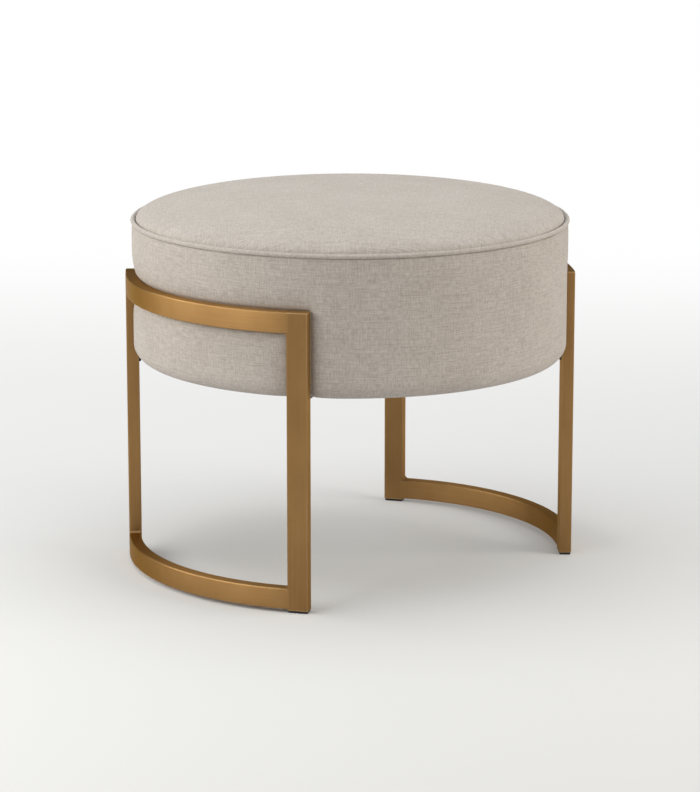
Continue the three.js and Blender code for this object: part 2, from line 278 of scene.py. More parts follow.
# Joins what changes over the surface to the shader, with the height as a bump
def finish_material(tree, shader, colour, roughness, height, distance, strength):
    tree.links.new(colour, shader.inputs["Base Color"])
    tree.links.new(roughness, shader.inputs["Roughness"])
    bump = {"Height": height, "Distance": distance, "Strength": strength}
    tree.links.new(add_node(tree, "ShaderNodeBump", bump)["Normal"], shader.inputs["Normal"])


# Plating clouds slowly and shows the brush lines. Its edges are painted paler, partly as rubbed wear and
# partly as a painted highlight on the rounded corners
brass, tree, shader = new_material("brushed_brass_plating", (0.36, 0.203, 0.078), 0.36, 1.0)
shader.inputs["Specular Tint"].default_value = (0.85, 0.66, 0.42, 1.0)
shader.inputs["Anisotropic"].default_value = 0.8
shader.inputs["Anisotropic Rotation"].default_value = 0.25
brushed = mapped_place(tree, "along_tube")
fine_lines = spots(tree, brushed, (14.0, 5200.0, 1.0), detail=3.0)
broad_lines = spots(tree, brushed, (6.0, 750.0, 1.0))
tone = mottled(tree, object_place(tree), (24.0, 24.0, 14.0), 3.0,
               (0.293, 0.163, 0.061), (0.337, 0.193, 0.075))[0]
lined = blend(tree, remap(tree, broad_lines, 0.3, 0.7, 0.0, 0.28), tone, (0.410, 0.247, 0.106))
# Paler corners: rubbed plating, plus a painted highlight standing in for the lamps' glint on the rounded
# edges
highlit_and_rubbed = blend(tree, worn_and_highlit_edges(tree, 0.518, 0.535, 0.25), lined, (0.72, 0.51, 0.29))
brushed_roughness = remap(tree, fine_lines, 0.25, 0.75, 0.41, 0.53)
lines = add_up(tree, fine_lines, broad_lines)
finish_material(tree, shader, highlit_and_rubbed, brushed_roughness, lines, 0.00004, 0.35)
along = add_node(tree, "ShaderNodeTangent", direction_type="UV_MAP", uv_map="along_tube")["Tangent"]
tree.links.new(along, shader.inputs["Tangent"])


def rail(middle_height):
    start_modelling()
    standing = (math.pi / 2, 0, 0)
    bpy.ops.mesh.primitive_plane_add(size=1.0, location=(path_radius, 0, middle_height), rotation=standing)
    bpy.context.object.scale = (tube_depth, tube_width, 1.0)
    piece = settled()
    piece.data.transform(Matrix.Rotation(-joint_angle, 4, "Z"))
    pick(piece, "VERT")
    bpy.ops.mesh.bevel(offset=tube_corner, segments=corner_steps, affect="VERTICES")
    pick(piece, "FACE")
    bpy.ops.mesh.spin(steps=rail_steps, angle=-2 * joint_angle, center=(0, 0, 0), axis=(0, 0, 1))
    for side in (-1, 1):
        pick(piece, "FACE", lambda face: len(face.verts) > 4 and middle(face).y * side > 0)
        run = Vector((-math.sin(joint_angle), side * math.cos(joint_angle), 0)) * weld_run
        for share in weld_run_shares:
            draw_out(run * share)
    tidy_faces(piece)
    return piece


def rail_map(point, face):
    along = math.atan2(point.y, point.x) * path_radius
    return along, point.z + point.xy.length


for level, rail_bottom in (("upper", upper_low.z), ("lower", lower_low.z)):
    right_rail = rail(rail_bottom + tube_width / 2)
    map_metres(right_rail, "along_tube", rail_map)
    left_rail = copy_of(right_rail, Matrix.Rotation(math.pi, 4, "Z"))
    for side, piece in (("right", right_rail), ("left", left_rail)):
        finish_piece(piece, f"{side}_{level}_rolled_rail", brass, f"{side}_{level}_rail")

# Legs. Straight lengths of the same tube, which stand past the rails' ends with their outer faces
# flush. A plate is welded over the top and ground smooth, and the bottom is open for the glide.

leg_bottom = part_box("right_back_leg")[0].z
leg_height = frame_top - leg_bottom
wear_and_highlight_cuts = (leg_bottom + 0.0006, leg_bottom + 0.0015, frame_top - 0.003, frame_top - 0.002)
leg_places = {
    "right_front": (-joint_angle, -1),
    "right_back": (joint_angle, 1),
    "left_back": (math.pi - joint_angle, -1),
    "left_front": (math.pi + joint_angle, 1),
}


# The way from the middle of the right frame to a leg, with how far beside the joint and how far out
def at_leg(where, beside, out=0.0):
    angle, side = leg_places[where]
    return Matrix.Rotation(angle, 4, "Z") @ Matrix.Translation((out, side * beside, 0))


def set_at_legs(plain, label, material, node=None, beside=tube_width / 2, out=0.0):
    for where in leg_places:
        piece = copy_of(plain, at_leg(where, beside, out))
        finish_piece(piece, f"{where}_{label}", material, node and f"{where}_{node}")
    bpy.data.objects.remove(plain)


def upright(edge, length):
    return abs(edge.verts[0].co.z - edge.verts[1].co.z) > length


# Lines are cut round the tube near both its ends, so that the edges' paling, part wear and part painted
# highlight, stays narrow
def leg():
    piece = add_block((tube_depth, tube_width, leg_height), (path_radius, 0, leg_bottom + leg_height / 2))
    pick(piece, "EDGE", lambda edge: upright(edge, leg_height / 2))
    bpy.ops.mesh.bevel(offset=tube_corner, segments=corner_steps, affect="EDGES")
    pick_level(piece, 1)
    bpy.ops.mesh.bevel(offset=tube_corner / 2, segments=4, affect="EDGES")
    pick_level(piece, -1)
    bpy.ops.mesh.inset(thickness=tube_wall)
    draw_out((0, 0, leg_height - tube_wall))
    for height in wear_and_highlight_cuts:
        pick(piece, "FACE")
        bpy.ops.mesh.bisect(plane_co=(0, 0, height), plane_no=(0, 0, 1))
    tidy_faces(piece)
    return piece


# The cap is brushed on the way that the rail runs
def leg_map(point, face):
    if abs(face.normal.z) > 0.7:
        return point.y, point.x
    return point.z, point.x + point.y


plain_leg = leg()
map_metres(plain_leg, "along_tube", leg_map)
set_at_legs(plain_leg, "leg_tube", brass, "leg")

# Welds. A small hollow bead is left in the inner corners where a rail meets its leg, below the upper
# rail and above the lower one. It is plated and brushed with the rest.

bead = 0.11 * tube_width
bead_hollow = 0.97 * bead
bead_length = tube_depth - 0.6 * tube_corner


def corner_bead(height, up):
    piece = add_block((bead_length, bead, bead), (path_radius, -bead / 2, height + up * bead / 2))
    far_edge = height + up * 0.9 * bead
    pick(piece, "EDGE", lambda edge: all(
        vert.co.y < -0.9 * bead and (vert.co.z - far_edge) * up > 0 for vert in edge.verts))
    bpy.ops.mesh.bevel(offset=bead_hollow, segments=8, profile=0.14, affect="EDGES")
    tidy_faces(piece, 60)
    return piece


for level, (height, up) in {"upper": (upper_low.z, -1), "lower": (lower_high.z, 1)}.items():
    plain_bead = corner_bead(height, up)
    map_metres(plain_bead, "along_tube", lambda point, face: (point.x, point.y + point.z))
    for where, (angle, side) in leg_places.items():
        turn = Matrix.Rotation(angle, 4, "Z") @ Matrix.Diagonal((1, side, 1, 1))
        laid = copy_of(plain_bead, turn)
        if side < 0:
            laid.data.flip_normals()
        finish_piece(laid, f"{where}_{level}_weld", brass)
    bpy.data.objects.remove(plain_bead)

# Glides. Moulded black plastic feet with a finely grained skin. Each has a flat foot nearly as wide
# as the tube, with its lower edge chamfered, and a stepped plug pressed up inside the leg.

foot_inset = 0.032 * tube_width
foot_height = 0.9 * leg_bottom
foot_corner = 0.8 * tube_corner
plug_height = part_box("right_back_glide")[1].z - foot_height
plug_steps = 4
plug_taper = (0.94, 0.97, 1)

glide_plastic, tree, shader = new_material("glide_plastic", (0.012, 0.011, 0.011), 0.45)
moulded = object_place(tree)
pebble = spots(tree, moulded, (2600.0, 2600.0, 2600.0))
dusty, scuffs = mottled(tree, moulded, (260.0, 90.0, 90.0), 4.0,
                        (0.011, 0.010, 0.010), (0.035, 0.033, 0.031), 0.55, 0.75)
finish_material(tree, shader, dusty, remap(tree, scuffs, 0.4, 0.7, 0.38, 0.62), pebble, 0.00008, 0.4)


def glide():
    size = (tube_depth - 2 * foot_inset, tube_width - 2 * foot_inset, foot_height)
    piece = add_block(size, (path_radius, 0, foot_height / 2))
    pick(piece, "EDGE", lambda edge: upright(edge, foot_height / 2))
    bpy.ops.mesh.bevel(offset=foot_corner, segments=4, affect="EDGES")
    pick_level(piece, -1)
    bpy.ops.mesh.bevel(offset=foot_height / 3, segments=2, affect="EDGES")
    pick_level(piece, 1)
    bpy.ops.mesh.inset(thickness=tube_wall)
    for step in range(plug_steps):
        draw_out((0, 0, plug_height / plug_steps))
        bpy.ops.transform.resize(value=plug_taper, center_override=(path_radius, 0, 0))
    tidy_faces(piece, 30)
    return piece


set_at_legs(glide(), "foot_glide", glide_plastic, "glide")

# Seat tabs. A flat steel tab is welded inside each leg and reaches in under the seat. Its inner end
# is round and drilled for a bolt, and it is powder coated black after welding.

tab_low, tab_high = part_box("right_back_seat_tab")
tab_bottom = tab_low.z
tab_top = tab_high.z
tab_width = 0.6 * tube_width
tab_outer = frame_radius - tube_depth
tab_offset = 0.003
tab_middle = tube_width / 2 - tab_offset
tab_edge = 0.0004
bolt_reach = 0.186
bolt_hole = 0.0035
drill_length = 0.02
tab_bead = 0.0022
tab_bead_length = 0.9 * tab_width
ripple_length = 0.0016
ripple_height = 0.10

powder_coat, tree, shader = new_material("black_powder_coat", (0.022, 0.022, 0.022), 0.42)
shader.inputs["Coat Weight"].default_value = 0.2
coated = object_place(tree)
orange_peel = spots(tree, coated, (900.0, 900.0, 900.0))
rubs = spots(tree, coated, (120.0, 120.0, 400.0), detail=5.0)
bare = times(tree, worn_and_highlit_edges(tree, 0.55, 0.66), remap(tree, rubs, 0.45, 0.65))
chipped = blend(tree, bare, (0.022, 0.022, 0.022), (0.16, 0.155, 0.15))
finish_material(tree, shader, chipped, remap(tree, rubs, 0.3, 0.7, 0.36, 0.55), orange_peel, 0.0001, 0.35)


# A disc with its outer half drawn out square to the leg, so that the inner end stays round
def seat_tab():
    start_modelling()
    bpy.ops.mesh.primitive_cylinder_add(vertices=48, radius=tab_width / 2, depth=tab_top - tab_bottom,
                                        location=(bolt_reach, 0, (tab_top + tab_bottom) / 2))
    piece = settled()
    pick(piece, "VERT", lambda vert: vert.co.x > bolt_reach - 1e-5)
    bpy.ops.transform.resize(value=(0, 1, 1), center_override=(bolt_reach, 0, 0))
    bpy.ops.transform.translate(value=(tab_outer - bolt_reach, 0, 0))
    start_modelling()
    bpy.ops.mesh.primitive_cylinder_add(vertices=32, radius=bolt_hole, depth=drill_length,
                                        location=(bolt_reach, 0, tab_bottom))
    drill = bpy.context.object
    apply_modifier(piece, "BOOLEAN", operation="DIFFERENCE", object=drill)
    bpy.data.objects.remove(drill)
    apply_modifier(piece, "BEVEL", width=tab_edge, segments=2, limit_method="ANGLE")
    tidy_faces(piece)
    return piece


# The bead under the tab's outer end, laid in small ripples
def tab_weld():
    start_modelling()
    bpy.ops.mesh.primitive_cylinder_add(vertices=16, radius=tab_bead, depth=tab_bead_length,
                                        location=(tab_outer - 0.0003, 0, tab_bottom - 0.0001),
                                        rotation=(math.pi / 2, 0, 0))
    piece = settled()
    pick(piece, "EDGE", lambda edge: abs(edge.verts[0].co.y - edge.verts[1].co.y) > tab_bead_length / 2)
    bpy.ops.mesh.subdivide(number_cuts=47)
    bpy.ops.object.mode_set(mode="OBJECT")
    for vert in piece.data.vertices:
        ripple = 1 + ripple_height * math.sin(vert.co.y * 2 * math.pi / ripple_length)
        vert.co.z = tab_bottom + (vert.co.z - tab_bottom) * ripple
        vert.co.x = tab_outer + (vert.co.x - tab_outer) * ripple
    tidy_faces(piece, 60)
    return piece


set_at_legs(seat_tab(), "steel_tab", powder_coat, "seat_tab", beside=tab_middle)
set_at_legs(tab_weld(), "tab_weld", powder_coat, beside=tab_middle)

# Bolts, washers and tee nuts. A zinc-plated button-head bolt with a hexagon socket goes up through
# each tab, with a washer under its head, into a tee nut hammered into the base board.

bolt_low, bolt_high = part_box("right_back_seat_bolt")
washer_low, washer_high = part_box("right_back_washer")
shank_radius = 0.003
thread_root = 0.0026
thread_pitch = 0.001
thread_start = 0.0012
tip_chamfer = 0.0006
head_bottom = bolt_low.z
head_height = 0.0038
head_top = head_bottom + head_height
head_radius = 0.0052
face_radius = 0.0029
dome_rise = 0.0026
socket_radius = 0.0023
socket_depth = 0.0023
socket_flat = 0.86
washer_hole = 0.0033
washer_radius = 0.0065
washer_edge = 0.0003

zinc_plate, tree, shader = new_material("bright_zinc_plate", (0.60, 0.61, 0.63), 0.32, 1.0)
plated = object_place(tree)
tone, spangle = mottled(tree, plated, (420.0, 420.0, 420.0), 4.0, (0.54, 0.55, 0.57), (0.66, 0.67, 0.69))
rainbow = spots(tree, plated, (60.0, 60.0, 60.0))
tinted = blend(tree, remap(tree, rainbow, 0.4, 0.7, 0.0, 0.4), tone, (0.62, 0.58, 0.47))
bright = blend(tree, worn_and_highlit_edges(tree, 0.53, 0.62, 0.5), tinted, (0.78, 0.78, 0.79))
finish_material(tree, shader, bright, remap(tree, spangle, 0.3, 0.7, 0.26, 0.42), spangle, 0.00005, 0.3)


# Draws a ring of edges through rows of (radius, height), each row extruded from the one before
def draw_rows(rows, corners, capped=False):
    start_modelling()
    radius, height = rows[0]
    bpy.ops.mesh.primitive_circle_add(vertices=corners, radius=radius, location=(0, 0, height),
                                      fill_type="NGON" if capped else "NOTHING")
    piece = settled()
    pick(piece, "EDGE")
    for (last_radius, last_height), (radius, height) in zip(rows, rows[1:]):
        bpy.ops.mesh.extrude_edges_move(TRANSFORM_OT_translate={"value": (0, 0, height - last_height)})
        grow = radius / last_radius
        bpy.ops.transform.resize(value=(grow, grow, 1), center_override=(0, 0, 0))
    if capped:
        bpy.ops.mesh.edge_face_add()
    return piece


# Drawn from the socket's floor out over the domed head and up the threads to the tip
def socket_bolt():
    rows = [(socket_radius, head_bottom + socket_depth), (socket_radius, head_bottom + 0.0002),
            (face_radius, head_bottom)]
    for turn in (30, 50, 70, 90):
        part = math.radians(turn)
        rows.append((face_radius + (head_radius - face_radius) * math.sin(part),
                     head_bottom + dome_rise * (1 - math.cos(part))))
    rows += [(head_radius, head_top), (shank_radius, head_top)]
    thread = head_top + thread_start
    while thread < bolt_high.z - 2 * thread_pitch:
        rows += [(shank_radius, thread), (thread_root, thread + thread_pitch / 2)]
        thread += thread_pitch
    rows += [(0.9 * shank_radius, bolt_high.z - tip_chamfer), (0.7 * shank_radius, bolt_high.z)]
    piece = draw_rows(rows, 36, capped=True)
    tidy_faces(piece, 40)
    for vert in piece.data.vertices:
        if vert.co.xy.length < 1.01 * socket_radius and vert.co.z < head_top:
            turn = math.atan2(vert.co.y, vert.co.x) % (math.pi / 3) - math.pi / 6
            flat = socket_flat / math.cos(turn)
            vert.co.x *= flat
            vert.co.y *= flat
    return piece


def flat_washer():
    low, high = washer_low.z, washer_high.z
    rows = [(washer_hole, low), (washer_radius - washer_edge, low), (washer_radius, low + washer_edge),
            (washer_radius, high), (washer_hole, high)]
    piece = draw_rows(rows, 48)
    pick(piece, "EDGE", lambda edge: all(vert.co.xy.length < 1.05 * washer_hole for vert in edge.verts))
    bpy.ops.mesh.bridge_edge_loops()
    tidy_faces(piece)
    return piece


def paint_node(node, material):
    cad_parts[node].material_slots[0].material = material


set_at_legs(socket_bolt(), "button_head_bolt", zinc_plate, "seat_bolt", tab_middle, bolt_reach)
set_at_legs(flat_washer(), "flat_washer", zinc_plate, "washer", tab_middle, bolt_reach)
for where in leg_places:
    paint_node(f"{where}_tee_nut", zinc_plate)

# Boards. The drum's base and deck are discs of 12 mm birch plywood, and a hoop of thin bending
# plywood closes its side. Face grain shows on the flat sides and five plies on the edges.

ply_pair = 0.0048


# The X, Y and Z of a place or a direction
def parts_of(tree, place):
    return add_node(tree, "ShaderNodeSeparateXYZ", {"Vector": place})


plywood, tree, shader = new_material("birch_plywood", (0.60, 0.44, 0.27), 0.62)
sawn = object_place(tree)
face_tone, figure = mottled(tree, sawn, (5.0, 48.0, 48.0), 5.0, (0.66, 0.50, 0.32), (0.52, 0.365, 0.215))
pores = spots(tree, sawn, (60.0, 1300.0, 1300.0))
height = parts_of(tree, sawn)["Z"]
plies = maths(tree, "SINE", times(tree, height, 2 * math.pi / ply_pair))
facing_up = parts_of(tree, add_node(tree, "ShaderNodeNewGeometry")["Normal"])["Z"]
edge_tone = blend(tree, remap(tree, plies, -0.3, 0.3), (0.60, 0.44, 0.27), (0.33, 0.215, 0.12))
on_edge = remap(tree, maths(tree, "ABSOLUTE", facing_up), 0.45, 0.55, 1.0, 0.0)
sides = blend(tree, on_edge, face_tone, edge_tone)
grained = blend(tree, remap(tree, pores, 0.58, 0.72, 0.0, 0.5), sides, (0.30, 0.19, 0.10))
finish_material(tree, shader, grained, remap(tree, figure, 0.3, 0.7, 0.55, 0.72), pores, 0.0002, 0.3)

for node in ("base_board", "deck_board", "side_hoop"):
    paint_node(node, plywood)

# Posts. Six square lengths of raw pine stand between the boards, with a countersunk screw through
# each board into each end. Their grain runs upright.

pine, tree, shader = new_material("raw_pine", (0.66, 0.50, 0.31), 0.66)
sawn = object_place(tree)
year_rings = mottled(tree, sawn, (170.0, 170.0, 5.0), 3.0,
                     (0.72, 0.56, 0.36), (0.50, 0.33, 0.17), 0.38, 0.62)[0]
fibres = spots(tree, sawn, (1500.0, 1500.0, 40.0))
grained = blend(tree, remap(tree, fibres, 0.4, 0.7, 0.0, 0.3), year_rings, (0.44, 0.29, 0.15))
finish_material(tree, shader, grained, remap(tree, fibres, 0.3, 0.7, 0.58, 0.75), fibres, 0.0002, 0.3)

for number in range(1, 7):
    paint_node(f"post_{number}", pine)
    paint_node(f"base_screw_{number}", zinc_plate)
    paint_node(f"deck_screw_{number}", zinc_plate)

# Foam. A band of padding is wrapped round the drum, and a thick crowned block of open-cell foam lies
# on the deck with a lip out over the band. Rails and legs press into the band through the cover.

seat_low, seat_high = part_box("boxing")
cord_low, cord_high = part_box("piping")
seat_bottom = seat_low.z
boxing_top = seat_high.z
seat_radius = seat_high.x
cord_thickness = cord_high.z - cord_low.z
cord_radius = cord_high.x - cord_thickness / 2
crown_base = (cord_low.z + cord_high.z) / 2
crown_reach = cord_radius - cord_thickness / 2 - 0.0003
crown_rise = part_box("top_panel")[1].z - crown_base
crown_flatness = 3
crown_fullness = 0.44
crown_middle = 0.17
seat_edge = 0.0205
edge_top = seat_bottom + seat_edge
seam_draw = 0.001
seam_draw_height = 0.008
drum_radius = 0.233
foam_step = 0.003
cloth = 0.0012
press_depth = 0.0073
bulge_depth = 0.0044
bulge_reach = 0.026
crease_start = 0.0005
crease_width = 0.0012
leg_end_angle = joint_angle + math.atan2(tube_width, frame_radius - tube_depth)


def ease_off(distance, length):
    share = min(1.0, max(0.0, distance / length))
    return 1 - share * share * (3 - 2 * share)


# The angle from the line through both frames' middles, the same in all four quarters
def folded(angle):
    return math.atan2(abs(math.sin(angle)), abs(math.cos(angle)))


# How far a place on the side is from the outline of the nearest rail or leg
def off_tube(angle, height):
    fold = folded(angle)
    above = max(0.0, height - frame_top)
    beside_leg = max(0.0, joint_angle - fold, fold - leg_end_angle) * seat_radius
    past_rail = max(0.0, fold - leg_end_angle) * seat_radius
    below = max(0.0, frame_top - tube_width - height)
    return min(math.hypot(beside_leg, above), math.hypot(past_rail, above, below))


# The tubes press the side in flat behind them, and it swells out again round them
def press_by(angle, height):
    gap = off_tube(angle, height)
    if gap < crease_start:
        return press_depth
    swollen = bulge_depth * (1 - math.sin(math.pi / 2 * min(1.0, gap / bulge_reach)))
    return swollen + (press_depth - bulge_depth) * ease_off(gap - crease_start, crease_width)


def side_radius(height, inset=0.0):
    drawn = seam_draw * max(0.0, 1 - (boxing_top - height) / seam_draw_height)
    drop = min(max(0.0, edge_top - height), seat_edge - inset)
    rounding = (seat_edge - inset) - math.sqrt((seat_edge - inset) ** 2 - drop * drop)
    return seat_radius - inset - drawn - rounding


def crown_height(reach, inset=0.0):
    out = min(1.0, reach / (crown_reach - inset))
    return crown_base + (crown_rise - inset) * (1 - out**crown_flatness) ** crown_fullness


def edge_rows(inset, steps):
    turns = [math.pi / 2 * (1 - step / steps) for step in range(steps)]
    reach = seat_edge - inset
    return [(seat_radius - inset - reach * (1 - math.cos(turn)), edge_top - reach * math.sin(turn))
            for turn in turns]


def upright_rows(inset, bottom, top, steps):
    heights = [bottom + (top - bottom) * step / steps for step in range(steps + 1)]
    return [(side_radius(height, inset), height) for height in heights]


# Rows in over the crown, a step's length apart, which leave the middle open
def crown_rows(inset, step_length):
    rows = []
    last = None
    for step in range(1, 2000):
        turn = math.pi / 2 * step / 2000
        reach = (crown_reach - inset) * math.cos(turn) ** (2 / crown_flatness)
        rise = (crown_rise - inset) * math.sin(turn) ** (2 * crown_fullness)
        point = Vector((reach, crown_base + rise))
        if last is None or (point - last).length > step_length:
            rows.append(tuple(point))
            last = point
        if reach < crown_middle:
            break
    return rows


# Brings the faces that fill the crown's middle up to the crown's own height
def raise_crown(piece, inset=0.0):
    for vert in piece.data.vertices:
        reach = vert.co.xy.length
        if vert.co.z > crown_base and reach < crown_middle + 0.01:
            vert.co.z = crown_height(reach, inset)


def press_in(piece):
    for vert in piece.data.vertices:
        reach = vert.co.xy.length
        if reach > drum_radius + foam_step:
            angle = math.atan2(vert.co.y, vert.co.x)
            inward = 1 - press_by(angle, vert.co.z) / reach
            vert.co.x *= inward
            vert.co.y *= inward


def fill_end(piece, place_test, span):
    pick(piece, "EDGE", lambda edge: edge.is_boundary and all(place_test(vert.co) for vert in edge.verts))
    bpy.ops.mesh.fill_grid(span=span)


# Round cells, as a mask that rises from each cell's middle
def cell_group():
    group, given = new_group("cells", {
        "Place": "Vector", "Cells to the metre": "Float", "From": "Float", "To": "Float"}, {"Mask": "Float"})
    cells = add_node(group, "ShaderNodeTexVoronoi", {
        "Vector": given["Place"], "Scale": given["Cells to the metre"]})
    mask = remap(group, cells["Distance"], given["From"], given["To"])
    add_node(group, "NodeGroupOutput", {"Mask": mask})
    return group


cell_pattern = cell_group()


def celled(tree, place, per_metre, low, high):
    return add_node(tree, "ShaderNodeGroup", {
        "Place": place, "Cells to the metre": per_metre, "From": low, "To": high,
    }, node_tree=cell_pattern)["Mask"]


open_cell, tree, shader = new_material("open_cell_foam", (0.80, 0.73, 0.50), 0.95)
cut_foam = object_place(tree)
aged, yellowing = mottled(tree, cut_foam, (14.0, 14.0, 14.0), 3.0, (0.84, 0.78, 0.56), (0.76, 0.66, 0.41))
cell_size = celled(tree, cut_foam, 900.0, 0.1, 0.55)
# The middle of each cell is darkened, as painted shade in the open pores
pore_shaded_tone = blend(tree, cell_size, (0.50, 0.43, 0.26), aged)
foam_roughness = remap(tree, yellowing, 0.3, 0.7, 0.9, 1.0)
finish_material(tree, shader, pore_shaded_tone, foam_roughness, cell_size, 0.0005, 0.6)

under_cloth = cloth + 0.0003
foam_lip = 0.005
lip_height = crown_base - foam_lip
foam_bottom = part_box("seat_foam")[0].z
foam_corner = 0.002
foam_side = 0.058
foam_swell = 0.0003
padding_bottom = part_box("side_padding")[0].z
padding_top = lip_height - 0.0003
padding_foot = 0.238
bore = drum_radius + 0.0008

block_rows = [(drum_radius - foam_corner, foam_bottom), (drum_radius, foam_bottom + foam_corner)]
block_rows += [(drum_radius, foam_bottom + foam_side * step / 8) for step in range(1, 9)]
block_rows += [(drum_radius + foam_step, lip_height), (crown_reach - under_cloth, lip_height)]
block_rows += crown_rows(under_cloth, 0.008)
top_foam = draw_rows(block_rows, 144)
fill_end(top_foam, lambda place: place.z < foam_bottom + 1e-4, 36)
fill_end(top_foam, lambda place: place.z > crown_base, 36)
tidy_faces(top_foam, 50)
raise_crown(top_foam, under_cloth)
for vert in top_foam.data.vertices:
    swell = noise.noise(vert.co * 30) * foam_swell
    vert.co.z -= abs(swell) if vert.co.xy.length < 0.2 else 0
finish_piece(top_foam, "crowned_top_foam", open_cell, "seat_foam")

band_rows = [(bore, padding_bottom), (padding_foot, padding_bottom)] + edge_rows(under_cloth, 6)
band_rows += upright_rows(under_cloth, edge_top, padding_top, 24)
band_rows += [(bore, padding_top)]
side_band = draw_rows(band_rows, 216)
pick(side_band, "EDGE", lambda edge: edge.is_boundary)
bpy.ops.mesh.bridge_edge_loops()
tidy_faces(side_band, 50)
press_in(side_band)
finish_piece(side_band, "wrapped_side_padding", open_cell, "side_padding")

# Cover. A plain-woven linen blend in oatmeal, pulled tight. A crowned top panel is sewn to a straight
# side band, the boxing, whose lower edge is turned in and stapled under the base board. The boxing's
# two ends are joined by one upright seam at the back.

hem_reach = 0.213
hem_width = seat_radius - seat_edge - hem_reach
seam_angle = math.pi / 2
seam_length = 2 * math.pi * seat_radius
cover_columns = 288
linen_pale = (0.504, 0.463, 0.434)
linen_deep = (0.360, 0.322, 0.290)
thread_spacing = 0.00085
stitch_length = 0.0032


# Weft and warp of short and long slubs, with some thick threads, and the crossings of both
def linen_group():
    group, given = new_group("linen_weave", {
        "Cloth place": "Vector", "Pale thread": "Color", "Deep thread": "Color",
    }, {"Color": "Color", "Height": "Float", "Roughness": "Float"})
    place = given["Cloth place"]
    short_weft = times(group, spots(group, place, (110.0, 900.0, 1.0), 1.0), 0.55)
    long_weft = times(group, spots(group, place, (20.0, 800.0, 1.0), 1.0), 0.45)
    short_warp = times(group, spots(group, place, (900.0, 140.0, 1.0), 1.0), 0.65)
    long_warp = times(group, spots(group, place, (800.0, 26.0, 1.0), 1.0), 0.35)
    threads = add_up(group, add_up(group, short_weft, long_weft), add_up(group, short_warp, long_warp))
    thick_weft = remap(group, spots(group, place, (60.0, 520.0, 1.0), 1.0), 0.55, 0.72)
    thick_warp = remap(group, spots(group, place, (520.0, 110.0, 1.0), 1.0), 0.60, 0.75)
    thick = maths(group, "MAXIMUM", thick_weft, thick_warp)
    cloud = spots(group, place, (12.0, 12.0, 1.0))
    waves = [maths(group, "SINE", times(group, parts_of(group, place)[axis], math.pi / thread_spacing))
             for axis in "XY"]
    crossing = times(group, *waves)
    tone = add_up(group, remap(group, threads, 0.78, 1.22), times(group, crossing, 0.10),
                  remap(group, cloud, 0.3, 0.7, -0.10, 0.10), times(group, thick, -0.35))
    colour = blend(group, tone, given["Deep thread"], given["Pale thread"])
    height = add_up(group, times(group, crossing, 0.45), threads, times(group, thick, 0.5))
    roughness = remap(group, threads, 0.7, 1.3, 0.98, 0.84)
    add_node(group, "NodeGroupOutput", {"Color": colour, "Height": height, "Roughness": roughness})
    return group


linen_weave = linen_group()


# Seam allowances lie under the cloth on either side of the upright seam, where the map starts and ends, and
# the hem is gathered where it turns under the seat. The seam's groove is returned as a mask, which darkens
# the colour as painted shade.
def seam_marks(tree, place):
    apart = parts_of(tree, place)
    from_start, height = apart["X"], apart["Y"]
    turned_under = remap(tree, height, seat_bottom - 0.030, seat_bottom - 0.005, 1.0, 0.0)
    folds = times(tree, spots(tree, place, (85.0, 9.0, 1.0), 1.0), turned_under)
    from_seam = maths(tree, "MINIMUM", from_start, maths(tree, "SUBTRACT", seam_length, from_start))
    stitches = maths(tree, "SINE", times(tree, height, 2 * math.pi / stitch_length))
    groove = remap(tree, from_seam, 0.0002, 0.0011, 1.0, 0.0)
    ridge = remap(tree, from_seam, 0.0005, 0.0090, 1.0, 0.0)
    raised = add_up(tree, times(tree, ridge, 4.0), times(tree, times(tree, ridge, stitches), 0.6),
                    times(tree, folds, 22.0), times(tree, groove, -5.0))
    return groove, raised


def linen_material(name, turned=0.0, seamed=False):
    material, tree, shader = new_material(name, linen_pale, 0.92)
    shader.inputs["Sheen Weight"].default_value = 0.12
    shader.inputs["Sheen Roughness"].default_value = 0.5
    shader.inputs["Specular IOR Level"].default_value = 0.25
    place = mapped_place(tree, "cloth_metres")
    if turned:
        place = add_node(tree, "ShaderNodeMapping", {"Vector": place, "Rotation": (0, 0, turned)})["Vector"]
    weave = add_node(tree, "ShaderNodeGroup", {
        "Cloth place": place, "Pale thread": linen_pale, "Deep thread": linen_deep}, node_tree=linen_weave)
    colour, height = weave["Color"], weave["Height"]
    if seamed:
        groove, raised = seam_marks(tree, place)
        # The seam's groove is darkened with painted shade
        colour = blend(tree, times(tree, groove, 0.7), colour, (0.13, 0.115, 0.10))
        height = add_up(tree, height, raised)
    finish_material(tree, shader, colour, weave["Roughness"], height, 0.00015, 0.6)
    return material


linen_top = linen_material("oatmeal_linen_top", turned=math.radians(38.7))
linen_side = linen_material("oatmeal_linen_side", seamed=True)


# Columns of the mesh, 1.25 degrees apart, are moved to the legs' edges, so that the cloth creases
# there. Each pair is where a column was and where it goes, in degrees.
def settle_columns(piece):
    edge_in = math.degrees(joint_angle)
    edge_out = math.degrees(leg_end_angle)
    wanted = ((31.25, 31.25), (33.75, 34.2), (35.0, edge_in - 0.38), (36.25, edge_in - 0.09), (38.75, 38.6),
              (41.25, edge_out + 0.09), (42.5, edge_out + 0.38), (43.75, 43.0), (46.25, 46.25))
    for vert in piece.data.vertices:
        reach = vert.co.xy.length
        if reach < drum_radius:
            continue
        fold = math.degrees(folded(math.atan2(vert.co.y, vert.co.x)))
        for (was_low, low), (was_high, high) in zip(wanted, wanted[1:]):
            if was_low <= fold < was_high:
                fold = low + (high - low) * (fold - was_low) / (was_high - was_low)
                break
        vert.co.x = math.copysign(reach * math.cos(math.radians(fold)), vert.co.x)
        vert.co.y = math.copysign(reach * math.sin(math.radians(fold)), vert.co.y)


